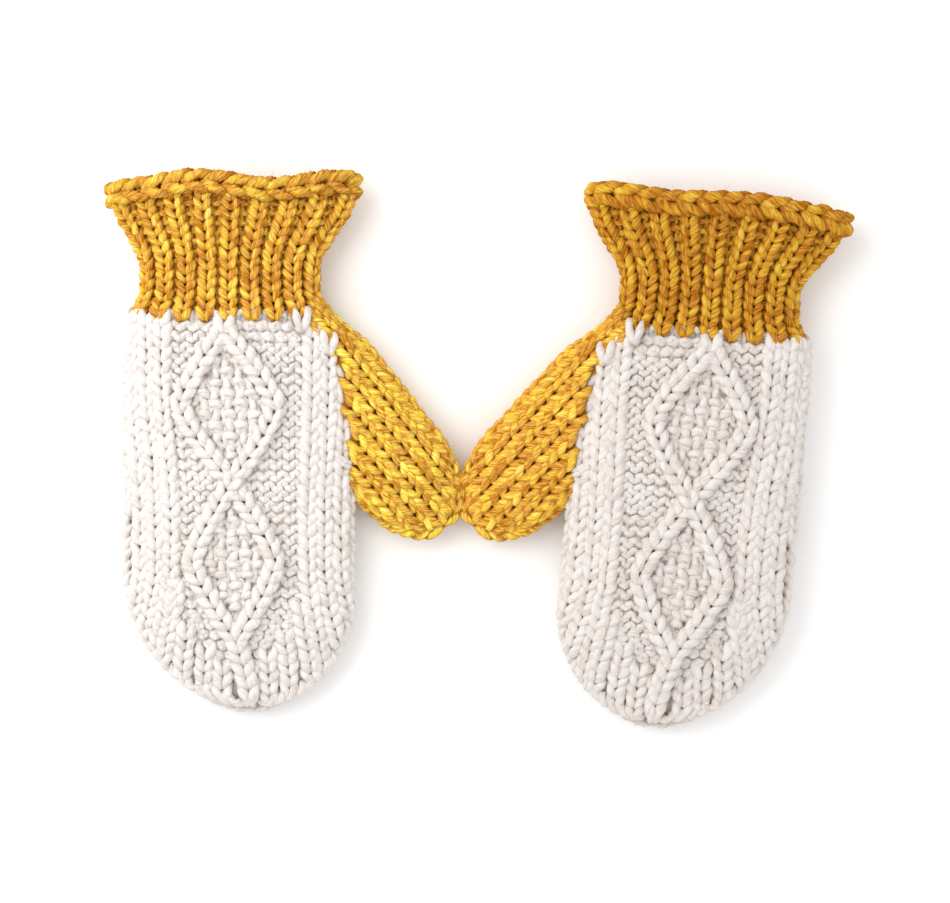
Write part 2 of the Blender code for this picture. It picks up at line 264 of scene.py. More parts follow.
def mustard_wool(name, light_share, painted_shade_strength):
    """The marled mustard wool, its shades scaled in red, green and blue: a lighter or darker copy that paints
    light or shade.
    """
    return spun_wool(name, painted_light_copy(MUSTARD_SHADES, light_share), streak=1.25, deep=MUSTARD_PAINTED_SHADE,
                     painted_shade_strength=painted_shade_strength, fibre_depth=MUSTARD_FIBRE)


MUSTARD = mustard_wool("mustard_wool", (1.0, 1.0, 1.0), painted_shade_strength=0.75)
# A darker copy of the same mustard wool: painted shade on the left mitten's cuff and edge.
MUSTARD_IN_PAINTED_SHADE = mustard_wool("mustard_wool_painted_shade", (0.77, 0.68, 0.50), painted_shade_strength=0.80)


def unit(vectors):
    return vectors / np.maximum(np.linalg.norm(vectors, axis=-1, keepdims=True), 1e-12)


def ease(low, high, value):
    share = np.clip((value - low) / (high - low), 0.0, 1.0)
    return share * share * (3.0 - 2.0 * share)


class Skein:
    """Collects lengths of plied yarn and turns them into one mesh."""

    SIDES_ROUND = 12
    TWIST = 2 * math.pi / 0.015

    def __init__(self, seed):
        self.random = np.random.default_rng(seed)
        self.batches = []

    def yarns(self):
        """The laid lengths of yarn, without the loose hairs."""
        return [points for points, _, _, _ in self.batches if points.shape[2] == self.SIDES_ROUND]

    def lay(self, centres, radius, up, sides=SIDES_ROUND, crease_shade=0.0):
        """Lengths of yarn: centres (lengths, points, 3), radius to match, up roughly outwards, and how much
        painted shade each point takes in its creases.
        """
        crease_shade = np.broadcast_to(crease_shade, radius.shape)
        lengths = len(centres)
        tangent = unit(np.gradient(centres, axis=1))
        side = unit(np.cross(tangent, up))
        out = np.cross(side, tangent)
        travel = np.linalg.norm(np.diff(centres, axis=1), axis=2)
        travel = np.concatenate([np.zeros((lengths, 1)), np.cumsum(travel, axis=1)], axis=1)
        start = self.random.uniform(0, 2 * math.pi, (lengths, 1))
        around = np.arange(sides) * 2 * math.pi / sides
        lobe = 0.74 + 0.26 * np.abs(np.cos(around)) ** 1.2
        angle = around + (travel * self.TWIST + start)[..., None]
        reach = radius[..., None] * lobe
        points = centres[:, :, None, :] + (reach * np.cos(angle))[..., None] * side[:, :, None, :]
        points = points + (reach * np.sin(angle))[..., None] * out[:, :, None, :]
        shift = self.random.uniform(0, 40, (lengths, 1, 1))
        spread = np.broadcast_to(travel[..., None] * 260.0 + shift, angle.shape)
        wheel = np.broadcast_to(around, angle.shape)
        fibres = np.stack([2.1 * np.cos(wheel), 2.1 * np.sin(wheel), spread], axis=-1)
        tones = np.broadcast_to(self.random.uniform(0, 1, (lengths, 1, 1)), angle.shape)
        # Painted shade: the side of each length turned away from up takes the deep colour, as do the creases
        # given.
        under = np.clip(0.55 - 0.75 * np.sin(angle), 0.0, 1.0)
        self.batches.append((points, fibres, tones, np.maximum(under, crease_shade[..., None])))

    def fluff(self, count, length, radius):
        """Loose hairs that stand off the yarn."""
        yarn = self.yarns()
        weights = np.array([points.shape[0] * points.shape[1] for points in yarn], float)
        shares = self.random.multinomial(count, weights / weights.sum())
        t = np.linspace(0, 1, 5)[None, :, None]
        for points, share in zip(yarn, shares):
            if not share:
                continue
            which = self.random.integers(0, points.shape[0], share)
            step = self.random.integers(1, points.shape[1] - 1, share)
            spot = self.random.integers(0, points.shape[2], share)
            root = points[which, step, spot]
            outward = unit(root - points[which, step].mean(axis=1))
            aim = unit(outward + self.random.normal(0, 0.7, (share, 3)))
            curl = unit(self.random.normal(0, 1, (share, 3)))
            reach = length * self.random.uniform(0.4, 1.3, (share, 1, 1))
            hair = root[:, None] + reach * (t * aim[:, None] + 0.45 * t**2 * curl[:, None])
            hair[..., 2] = np.maximum(hair[..., 2], 0.0003)
            taper = np.full((share, 5), radius) * np.linspace(1, 0.35, 5)
            self.lay(hair, taper, np.cross(aim, curl)[:, None], 3)

    def mesh(self, name, side, side_wools):
        """The knitted piece on that side's mitten, each length of yarn in its own patch of the map."""
        total = sum(points.shape[0] for points in self.yarns()) + 1
        cells = int(math.ceil(math.sqrt(total)))
        groups = {}
        base = 0
        placed = 1
        for points, _, _, _ in self.batches:
            lengths, steps, n, _ = points.shape
            yarn = n == self.SIDES_ROUND
            l, k, j = np.meshgrid(np.arange(lengths), np.arange(steps - 1), np.arange(n), indexing="ij")
            first = base + (l * steps + k) * n
            here = np.stack([first + j, first + (j + 1) % n, first + n + (j + 1) % n, first + n + j], axis=-1)
            cell = placed + l if yarn else np.zeros_like(l)
            corner = np.stack([cell % cells, cell // cells], axis=-1)[..., None, :]
            u = np.stack([j, j + 1, j + 1, j], axis=-1) / n
            v = np.stack([k, k, k + 1, k + 1], axis=-1) / (steps - 1)
            spots = (corner + 0.04 + 0.92 * np.stack([u, v], axis=-1)) / cells
            groups.setdefault(4, []).append((here.reshape(-1, 4), spots.reshape(-1, 4, 2)))
            ring = np.arange(n)
            low = base + np.arange(lengths)[:, None] * steps * n
            ends = np.concatenate([low + ring[::-1], low + (steps - 1) * n + ring])
            where = placed + np.arange(lengths) if yarn else np.zeros(lengths, int)
            where = np.concatenate([where, where])
            round_end = ring * 2 * math.pi / n
            circle = 0.015 + 0.012 * np.stack([np.cos(round_end), np.sin(round_end)], -1)
            spots = (np.stack([where % cells, where // cells], -1)[:, None, :] + circle[None]) / cells
            groups.setdefault(-n, []).append((ends, spots))
            base += lengths * steps * n
            placed += lengths if yarn else 0
        faces, maps = [], []
        for pieces in groups.values():
            polygons = np.concatenate([piece for piece, _ in pieces])
            spots = np.concatenate([spot for _, spot in pieces])
            if side == "left":
                polygons, spots = polygons[:, ::-1], spots[:, ::-1]
            faces.append(polygons)
            maps.append(spots.reshape(-1, 2))
        vertices = to_table(side, np.concatenate([batch[0].reshape(-1, 3) for batch in self.batches]))
        fibres = np.concatenate([batch[1].reshape(-1, 3) for batch in self.batches])
        tones = np.concatenate([batch[2].reshape(-1) for batch in self.batches])
        # Painted shade on each point of the yarn.
        hollows = np.concatenate([batch[3].reshape(-1) for batch in self.batches])
        facts = (fibres, tones, hollows)
        return knitted_object(side + "_" + name, vertices, faces, np.concatenate(maps), facts, side_wools[side])


def knitted_object(name, vertices, faces, uvs, facts, material):
    """An object from arrays of points and faces, smooth shaded, with facts about its fibres."""
    fibres, tones, hollows = facts
    mesh = bpy.data.meshes.new(name)
    loops = np.concatenate([group.reshape(-1) for group in faces])
    sizes = np.concatenate([np.full(len(group), group.shape[1]) for group in faces])
    starts = np.concatenate([[0], np.cumsum(sizes)[:-1]])
    mesh.vertices.add(len(vertices))
    mesh.vertices.foreach_set("co", vertices.astype(np.float32).ravel())
    mesh.loops.add(len(loops))
    mesh.loops.foreach_set("vertex_index", loops.astype(np.int32))
    mesh.polygons.add(len(sizes))
    mesh.polygons.foreach_set("loop_start", starts.astype(np.int32))
    mesh.polygons.foreach_set("use_smooth", np.ones(len(sizes), dtype=bool))
    if uvs is not None:
        layer = mesh.uv_layers.new(name="OFBake")
        layer.data.foreach_set("uv", uvs.astype(np.float32).ravel())
    mesh.attributes.new("fibre", "FLOAT_VECTOR", "POINT").data.foreach_set(
        "vector", fibres.astype(np.float32).ravel())
    # The painted shade goes into the mesh beside the fibres and tones.
    for fact, values in (("tone", tones), ("hollow", hollows)):
        mesh.attributes.new(fact, "FLOAT", "POINT").data.foreach_set("value", values.astype(np.float32))
    mesh.update(calc_edges=True)
    mesh.validate()
    mesh.materials.append(material)
    piece = bpy.data.objects.new(name, mesh)
    scene.collection.objects.link(piece)
    return piece


def read_path(at, travel, values):
    """A path's points or directions, read at distances along it."""
    return np.stack([np.interp(at, travel, values[:, i]) for i in range(3)], -1)


def resample(points, normals, count):
    """Even steps along a path."""
    travel = np.concatenate([[0], np.cumsum(np.linalg.norm(np.diff(points, axis=0), axis=1))])
    at = np.linspace(0, travel[-1], count)
    return at, read_path(at, travel, points), unit(read_path(at, travel, normals))


def braid(skein, points, normals, stitch, width, radius, lift, keep=None, spread=0.33, dive=1.0, long=1.0,
          pinch=0.085):
    """A column of knit stitches: pairs of slanted plump leaves, each V opening along the path.

    The leaves start a pinch from the middle, spread outwards, and dive under the next pair.
    """
    at, path, out = resample(points, normals, 300)
    total = at[-1]
    count = max(int(round(total / stitch)), 1)
    step = total / count
    heading = unit(np.gradient(path, axis=0))
    t = np.linspace(0, 1, 9)
    noise = skein.random.normal
    for leg in (-1.0, 1.0):
        along = (np.arange(count)[:, None] - 0.18 * long + (0.18 + 0.06 + 1.18 * long) * t) * step
        along = along + noise(0, 0.035, (count, 1)) * step
        place = np.clip(along, 0, total)
        base = read_path(place, at, path)
        over = along - place
        n = unit(read_path(place, at, out))
        d = unit(read_path(place, at, heading))
        b = unit(np.cross(d, n))
        lateral = leg * width * (pinch + spread * np.sin(0.5 * math.pi * t) ** 1.15)
        lateral = lateral * (1 + noise(0, 0.05, (count, 1)))
        dip = -1.15 * np.clip(1 - t / 0.26, 0, 1) ** 1.6 - 1.75 * np.clip((t - 0.55) / 0.45, 0, 1) ** 1.7
        depth = lift + radius * (dive * dip + 0.10 * np.sin(math.pi * t))
        depth = depth + noise(0, 0.07, (count, 1)) * radius
        fat = radius * (0.62 + 0.38 * np.sin(math.pi * np.clip(0.12 + 0.84 * t, 0, 1)))
        fat = fat * (1 + noise(0, 0.04, (count, 1)))
        centres = base + over[..., None] * d + lateral[..., None] * b + depth[..., None] * n
        if keep is not None:
            chosen = keep(centres[:, 4])
            if not chosen.any():
                continue
            centres, fat, n = centres[chosen], fat[chosen], n[chosen]
        # Painted shade at both ends of each leaf, where it dives under its neighbours.
        skein.lay(centres, fat, n, crease_shade=np.maximum(ease(0.20, 0.0, t), ease(0.62, 0.95, t)))


def bump_row(skein, points, normals, stitch, height, radius, swing, lift=0.0, faces=None):
    """A row of loops: purl stitches show their heads and feet, knit stitches sink them."""
    travel = np.linalg.norm(np.diff(points, axis=0), axis=1).sum()
    count = max(int(round(travel / stitch)), 1)
    per = 12
    at, path, out = resample(points, normals, count * per + 1)
    phase = at / at[-1] * 2 * math.pi * count
    heading = unit(np.gradient(path, axis=0))
    across = unit(np.cross(out, heading))
    if faces is None:
        sign = np.ones(len(at))
    else:
        number = phase / (2 * math.pi)
        which = np.clip(np.floor(number), 0, count - 1).astype(int)
        here = np.array([faces(i) for i in range(-1, count + 1)], float)
        part = number - which
        before, own, after = here[which], here[which + 1], here[which + 2]
        sign = np.where(part < 0.25, before + (own - before) * (0.5 + 2 * part), own)
        sign = np.where(part > 0.75, own + (after - own) * 2 * (part - 0.75), sign)
    wobble = skein.random.normal(0, 0.05, count + 2)
    wave = 1 + np.interp(phase / (2 * math.pi), np.arange(count + 2) - 0.5, wobble)
    shift = 0.14 * stitch * np.sin(2 * phase)
    centres = (path + shift[:, None] * heading - (height * np.cos(phase) * wave)[:, None] * across
               + (lift + swing * sign * np.cos(2 * phase))[:, None] * out)
    radii = np.full(len(at), radius) * (1 + 0.05 * np.sin(phase * 0.7 + skein.random.uniform(0, 6)))
    skein.lay(centres[None], radii[None], out[None])


ROUNDNESS = 2.6


def oval(centre, half, low, high, angle):
    """Points and outward directions round a flattened oval section, in x and z."""
    c, s = np.cos(angle), np.sin(angle)
    x = np.sign(c) * np.abs(c) ** (2 / ROUNDNESS)
    z = np.sign(s) * np.abs(s) ** (2 / ROUNDNESS)
    middle = (low + high) / 2
    rise = (high - low) / 2
    nx = np.sign(x) * np.abs(x) ** (ROUNDNESS - 1) / half
    nz = np.sign(z) * np.abs(z) ** (ROUNDNESS - 1) / rise
    return centre + half * x, middle + rise * z, nx, nz


def crown(away, half):
    """How high an oval section stands, from 1 at its middle to 0 at its half width."""
    share = np.clip(np.abs(away) / half, 0.0, 1.0)
    return (1 - share**ROUNDNESS) ** (1 / ROUNDNESS)


def cuff_shape(side):
    """The section of that side's cuff: middle, half width, bottom and top above the wrist."""
    mouth, drift = CUFF_MOUTH[side]

    def section(y):
        width = CUFF_WRIST + (mouth - CUFF_WRIST) * ease(0.020, 0.055, y)
        middle = -0.0042 + drift * ease(0.4 * CUFF_LENGTH, CUFF_LENGTH, y)
        half = width / 2 + 0.0035 * ease(0.009, -0.002, y)
        top = CUFF_HEIGHT + 0.003 * ease(0.5 * CUFF_LENGTH, CUFF_LENGTH, y)
        return middle, half, np.full_like(y, 0.0027), top

    return section


def even_angles(section, y, shares):
    """Angles that split the section's girth at the given shares, counted from the thumb side."""
    dense = np.linspace(0, 2 * math.pi, 721)
    middle, half, low, high = (float(v) for v in section(np.array(y)))
    x, z, _, _ = oval(middle, half, low, high, dense)
    travel = np.concatenate([[0], np.cumsum(np.hypot(np.diff(x), np.diff(z)))])
    return np.interp(np.asarray(shares) % 1.0 * travel[-1], travel, dense), travel[-1]


def squared(points, normals):
    """A line, and its outward directions turned square to it."""
    points = np.array(points)
    normals = unit(np.array(normals))
    slope = unit(np.gradient(points, axis=0))
    return points, unit(normals - (normals * slope).sum(1, keepdims=True) * slope)


def tube_path(section, ys, share, inset=0.0):
    """A line up the wall of a tube, at a fixed share of the girth."""
    points, normals = [], []
    for y in ys:
        angle, _ = even_angles(section, y, [share])
        middle, half, low, high = section(np.array(y))
        x, z, nx, nz = oval(middle, half - inset, low + inset, high - inset, angle)
        points.append((float(x[0]), y, float(z[0])))
        normals.append((float(nx[0]), 0.0, float(nz[0])))
    return squared(points, normals)


def ring_path(section, y, inset=0.0, first=0.0, last=1.0, count=361):
    """A line round the tube at one height."""
    angle, _ = even_angles(section, y, np.linspace(first, last, count) * 0.99999)
    middle, half, low, high = section(np.array(y))
    x, z, nx, nz = oval(middle, half - inset, low + inset, high - inset, angle)
    points = np.stack([x, np.full(count, y), z], -1)
    return points, unit(np.stack([nx, np.zeros(count), nz], -1))


RIBS = 18
# The right mitten's cuff takes the plain wool, the left one's the darker copy, painted shade.
CUFF_WOOL_WITH_PAINTED_SHADE = {"right": MUSTARD, "left": MUSTARD_IN_PAINTED_SHADE}
RIB_ROW = 0.00455


def sheet_solid(name, side, outer, inner, material, closed=False):
    """The woolly body behind the stitches: two grids of points, joined round their edges."""
    rows, cols, _ = outer.shape
    vertices = np.concatenate([outer.reshape(-1, 3), inner.reshape(-1, 3)])
    col = np.arange(cols if closed else cols - 1)
    i, j = np.meshgrid(np.arange(rows - 1), col, indexing="ij")
    right = (j + 1) % cols
    a, b, c, d = i * cols + j, i * cols + right, (i + 1) * cols + right, (i + 1) * cols + j
    front = np.stack([a, b, c, d], -1).reshape(-1, 4)
    shift = rows * cols
    back = front[:, ::-1] + shift
    nxt = (col + 1) % cols
    last = (rows - 1) * cols
    rims = [(nxt, col), (last + col, last + nxt)]
    if not closed:
        row = np.arange(rows - 1) * cols
        end = row + cols - 1
        rims += [(row, row + cols), (end + cols, end)]
    edges = [np.stack([a, b, b + shift, a + shift], -1) for a, b in rims]
    quads = np.concatenate([front, back] + edges)
    vertices = to_table(side, vertices)
    corner = vertices[front[:, 0]]
    normal = np.cross(vertices[front[:, 1]] - corner, vertices[front[:, 3]] - corner)
    outward = corner - vertices[front[:, 0] + shift]
    if (normal * outward).sum() < 0:
        quads = quads[:, ::-1]
    facts = (vertices * 900.0, np.full(len(vertices), 0.5), np.zeros(len(vertices)))
    return knitted_object(side + "_" + name, vertices, (quads,), None, facts, material)


def backing_wool(name, colour, deep):
    """The inside of the fabric, seen only through the gaps between stitches, in deeper colours than the yarn:
    painted shade in those gaps.
    """
    wool = Wool(name)
    fibre = wool.node("ShaderNodeAttribute", {"attribute_name": "fibre"}, output=1)
    mottle = wool.node("ShaderNodeTexNoise", _0=fibre, Scale=0.8, Detail=3.0)
    mixed = blend_colours(wool, mottle, deep, colour)
    bump = wool.node("ShaderNodeBump", Strength=0.5, Distance=0.0004, Height=mottle)
    return wool.finished(mixed, bump, roughness=0.95, specular=0.1)


# The backing is real fabric behind the stitches; its deeper colours are painted shade.
MUSTARD_BACKING_PAINTED_SHADE = backing_wool("mustard_backing_painted_shade", (0.62, 0.27, 0.025, 1), (0.42, 0.16, 0.010, 1))


def tube_backing(name, side, section, ys, depths, material, place=None, count=97):
    """The woolly body behind a tube's stitches, between two depths under its surface."""
    shells = []
    for deep in depths:
        shell = np.stack([ring_path(section, y, deep, count=count)[0][:-1] for y in ys])
        shells.append(place(shell) if place else shell)
    return sheet_solid(name, side, *shells, material, closed=True)


def knit_cuff(side):
    cuff_section = cuff_shape(side)
    skein = Skein(11)
    ys = np.linspace(-0.0040, CUFF_LENGTH - 0.004, 40)
    for rib in range(RIBS):
        points, normals = tube_path(cuff_section, ys, (rib + 0.5) / RIBS, YARN)
        points = points + (0.0018 * ease(0.006, -0.003, ys))[:, None] * normals
        braid(skein, points, normals, RIB_ROW, width=0.0080, radius=0.00212, lift=0.0005, long=1.02)
    purls = Skein(12)
    for row in range(int(CUFF_LENGTH / RIB_ROW)):
        y = 0.002 + row * RIB_ROW
        if y > CUFF_LENGTH - 0.005:
            break
        points, normals = ring_path(cuff_section, y, 0.0046)
        girth = even_angles(cuff_section, y, [0])[1]
        bump_row(purls, points, normals, girth / (2 * RIBS), height=0.0021, radius=0.00150, swing=0.0007)
    ys = np.linspace(0.016, CUFF_LENGTH - 0.0035, 30)
    for rib in range(RIBS):
        points, normals = tube_path(cuff_section, ys, rib / RIBS, 0.0082)
        braid(skein, points, -normals, 0.0052, width=0.0076, radius=0.00175, lift=-0.0010, spread=0.28)
    skein.fluff(700, length=0.0038, radius=0.00006)
    ribs = skein.mesh("cuff_ribs", side, CUFF_WOOL_WITH_PAINTED_SHADE)
    hollows = purls.mesh("cuff_purls", side, CUFF_WOOL_WITH_PAINTED_SHADE)
    body = tube_backing("cuff_backing", side, cuff_section, np.linspace(0.0, CUFF_LENGTH, 24),
                        (0.0055, 0.0068), MUSTARD_BACKING_PAINTED_SHADE)
    for piece in (ribs, hollows, body):
        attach(piece, side + "_hand")
    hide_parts(side + "_cuff")


for side in SIDES:
    knit_cuff(side)


# ------------------------------------------------------------
# The chained edge of the cuff.
# A cast-off chain of the same mustard wool, doubled and thick, that wraps round the mouth and
# stands a little proud of the ribs; it lies in a loose wave.

EDGE_MIDDLE = CUFF_LENGTH - 0.0015
EDGE_YARN = 0.0031
EDGE_STITCH = 0.0098


def knit_edge(side):
    cuff_section = cuff_shape(side)
    skein = Skein(21)
    first = 0.5 / RIBS
    points, normals = ring_path(cuff_section, EDGE_MIDDLE, 0.0010, first, first + 1.0, 721)
    points[:, 2] += 0.0012 * normals[:, 2].clip(0.0, 1.0)
    across = np.clip(points[:, 0] / 0.060, -1, 1)
    swell = 0.0020 if side == "right" else 0.0010
    wave = swell * np.cos(2 * math.pi * (points[:, 0] + 0.017) / 0.066)
    wave = wave - 0.0030 * np.abs(across) ** 10 - 0.0012
    points[:, 1] = EDGE_MIDDLE + wave
    if side == "right":
        points, normals = points[::-1], normals[::-1]
    braid(skein, points, normals, EDGE_STITCH, width=0.0124, radius=EDGE_YARN, lift=0.0002, spread=0.30,
          dive=0.7, long=1.1, pinch=0.035)
    skein.fluff(260, length=0.0042, radius=0.00007)
    edge = skein.mesh("edge_chain", side, CUFF_WOOL_WITH_PAINTED_SHADE)
    ys = np.linspace(CUFF_LENGTH - 0.012, EDGE_MIDDLE, 6)
    body = tube_backing("edge_backing", side, cuff_section, ys, (0.0048, 0.0066), MUSTARD_BACKING_PAINTED_SHADE)
    for piece in (edge, body):
        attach(piece, side + "_hand")
    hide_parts(side + "_cuff_edge")


for side in SIDES:
    knit_edge(side)


# ------------------------------------------------------------
# The back of the hand and the back of the cap.
# One piece of thick cream wool from the wrist over the knuckles to the tip: sunken purl rows, plain knit
# bands down both sides, and two raised cables that cross into diamonds filled with moss stitch.

HAND_LENGTH = 0.186
HAND_WIDTH = 0.108
HAND_HEIGHT = 0.028
PINKY_ROUND = 0.066
INDEX_ROUND = 0.052
TIP_OFFSET = 0.006
PINKY_WRIST_TAPER = 0.001
INDEX_WRIST_TAPER = 0.008
WRIST_EASE = 0.018
CREAM_YARN = 0.00240
CABLE_YARN = 0.00265
PURL_ROW = 0.0050
PURL_STITCH = 0.0063
BAND_PITCH = 0.0076
BAND_ROW = 0.0056
FOLD = 0.010
CREAM_SHADES = ((0.25, (0.70, 0.64, 0.60)), (0.42, (0.80, 0.755, 0.725)), (0.60, (0.84, 0.80, 0.77)),
                (0.80, (0.86, 0.83, 0.805)))
CREAM_FIBRE = 0.0008
# Cream wool: its deep colour is painted shade in undersides and creases, and the darker copy is painted shade
# on the left mitten.
CREAM = spun_wool("cream_wool", CREAM_SHADES, streak=1.3, deep=(0.76, 0.70, 0.65), painted_shade_strength=0.45,
                  fibre_depth=CREAM_FIBRE)
CREAM_IN_PAINTED_SHADE = spun_wool("cream_wool_painted_shade", painted_light_copy(CREAM_SHADES, (0.90, 0.89, 0.885)), streak=1.3,
                       deep=(0.68, 0.61, 0.55), painted_shade_strength=0.5, fibre_depth=CREAM_FIBRE)
CREAM_WOOL_WITH_PAINTED_SHADE = {"right": CREAM, "left": CREAM_IN_PAINTED_SHADE}
# The backing is real fabric behind the stitches; its deeper colours are painted shade.
CREAM_BACKING_PAINTED_SHADE = backing_wool("cream_backing_painted_shade", (0.84, 0.79, 0.73, 1), (0.72, 0.64, 0.56, 1))
# Plain columns: how far each lies from the middle, and the height of its first stitch, wrist at 0.
FAR_BAND = ((-0.0503, 0.0), (-0.0430, 0.0), (-0.0357, 0.0), (-0.0285, -0.128))
THUMB_BAND = ((0.0505, -0.028), (0.0428, -0.0165), (0.0352, -0.008), (0.0285, -0.138))
TIP_COLUMNS = ((-0.0205, -0.150), (-0.0120, -0.160), (0.0200, -0.152), (0.0125, -0.162), (-0.0050, -0.166),
               (0.0052, -0.168))
# Single forked stitches that step down along the seam with the gusset: place of each.
FORKS = ((0.0300, -0.0035), (0.0425, -0.0140), (0.0520, -0.0250))
# Heights where the two cables part, cross and meet again, and each diamond's half width.
CABLES_PART = -0.009
CABLES_CROSS = -0.081
CABLES_MEET = -0.155
DIAMONDS = ((CABLES_PART, CABLES_CROSS, 0.0225), (CABLES_CROSS, CABLES_MEET, 0.0195))
# The line half way between the cables: height, and distance from the hand's middle.
CABLE_MIDDLE = ((-0.176, 0.0045), (CABLES_MEET, -0.0007), (CABLES_CROSS, -0.0026), (CABLES_PART, -0.0060))


def hand_edge(way, corner, taper):
    """One side of the hand's outline, -1 or 1 of the middle: x from y."""

    def edge(y):
        turn = np.clip((-y - (HAND_LENGTH - corner)) / corner, 0.0, 1.0)
        straight = way * (HAND_WIDTH / 2 - taper * ease(-WRIST_EASE, 0.0, y))
        bent = TIP_OFFSET + (way * HAND_WIDTH / 2 - TIP_OFFSET) * np.sqrt(1 - turn**2)
        return np.where(turn > 0, bent, straight)

    return edge


pinky_edge = hand_edge(-1.0, PINKY_ROUND, PINKY_WRIST_TAPER)
index_edge = hand_edge(1.0, INDEX_ROUND, INDEX_WRIST_TAPER)


def hand_section(y):
    """Middle, half width, bottom and top of the hand at a height below the wrist."""
    y = np.asarray(y, float)
    left = pinky_edge(y)
    right = index_edge(y)
    top = HAND_HEIGHT - 0.006 * ease(0.55 * HAND_LENGTH, HAND_LENGTH, -y)
    closing = 0.40 + 0.60 * ease(0.0, 0.040, HAND_LENGTH + y)
    level = 0.42 * top
    half = np.maximum((right - left) / 2, 0.001)
    return (left + right) / 2, half, level * (1 - closing), level + (top - level) * closing


def hand_height(x, y):
    """Height of the upper side of the hand over a spot of the table."""
    middle, half, low, high = hand_section(np.maximum(y, -HAND_LENGTH))
    return (low + high) / 2 + (high - low) / 2 * crown(x - middle, half)


def drape(height, xs, ys):
    """Lay a flat path over a height; gives points and outward directions."""
    step = 0.0006
    xs, ys = np.broadcast_arrays(np.asarray(xs, float), np.asarray(ys, float))
    z = height(xs, ys)
    slope_x = np.clip((height(xs + step, ys) - height(xs - step, ys)) / (2 * step), -3.0, 3.0)
    slope_y = np.clip((height(xs, ys + step) - height(xs, ys - step)) / (2 * step), -3.0, 3.0)
    return np.stack([xs, ys, z], -1), unit(np.stack([-slope_x, -slope_y, np.ones_like(z)], -1))


def side_line(section, ys, seam, distance):
    """A line down the wall, at a distance measured round it from the side seam (0 thumb, pi far)."""
    points, normals = [], []
    dense = np.linspace(seam - math.pi / 2, seam + math.pi / 2, 361)
    if seam:
        dense = dense[::-1]
    for y, far in zip(ys, np.broadcast_to(distance, len(ys))):
        middle, half, low, high = section(np.array(y))
        x, z, nx, nz = oval(middle, half, low, high, dense)
        travel = np.concatenate([[0], np.cumsum(np.hypot(np.diff(x), np.diff(z)))])
        travel = travel - travel[180]
        points.append((np.interp(far, travel, x), y, np.interp(far, travel, z)))
        normals.append((np.interp(far, travel, nx), 0.0, np.interp(far, travel, nz)))
    return squared(points, normals)


def strand_offset(y):
    """How far each cable lies from the middle, and where the middle is."""
    offset = np.zeros_like(y)
    middle = np.interp(y, *zip(*CABLE_MIDDLE))
    for top, bottom, reach in DIAMONDS:
        share = np.clip((y - bottom) / (top - bottom), 0.0, 1.0)
        tent = 1 - np.abs(2 * share - 1)
        offset = offset + reach * (0.55 * tent + 0.45 * np.sin(math.pi * share) ** 1.1)
    return middle, offset


def moss_here(x, y):
    """True inside the diamonds, clear of the cables."""
    middle, offset = strand_offset(np.asarray(y, float))
    return np.abs(x - middle) < offset - 0.003


def face_backing(name, side, ys, turn, depths, raised=None):
    """The woolly body behind one face, between two depths; turn is 0 for the back, pi for the palm."""
    angle = np.linspace(turn + 0.02, turn + math.pi - 0.02, 60)
    shells = []
    for deep in depths:
        rows = []
        for y in ys:
            middle, half, low, high = hand_section(y)
            low = low + deep + (float(raised(y)) if raised else 0.0)
            x, z, _, _ = oval(middle, max(half - deep, 0.001), low, high - deep, angle)
            rows.append(np.stack([x, np.full(60, y), z], -1))
        shells.append(np.stack(rows))
    return sheet_solid(name, side, *shells, CREAM_BACKING_PAINTED_SHADE)


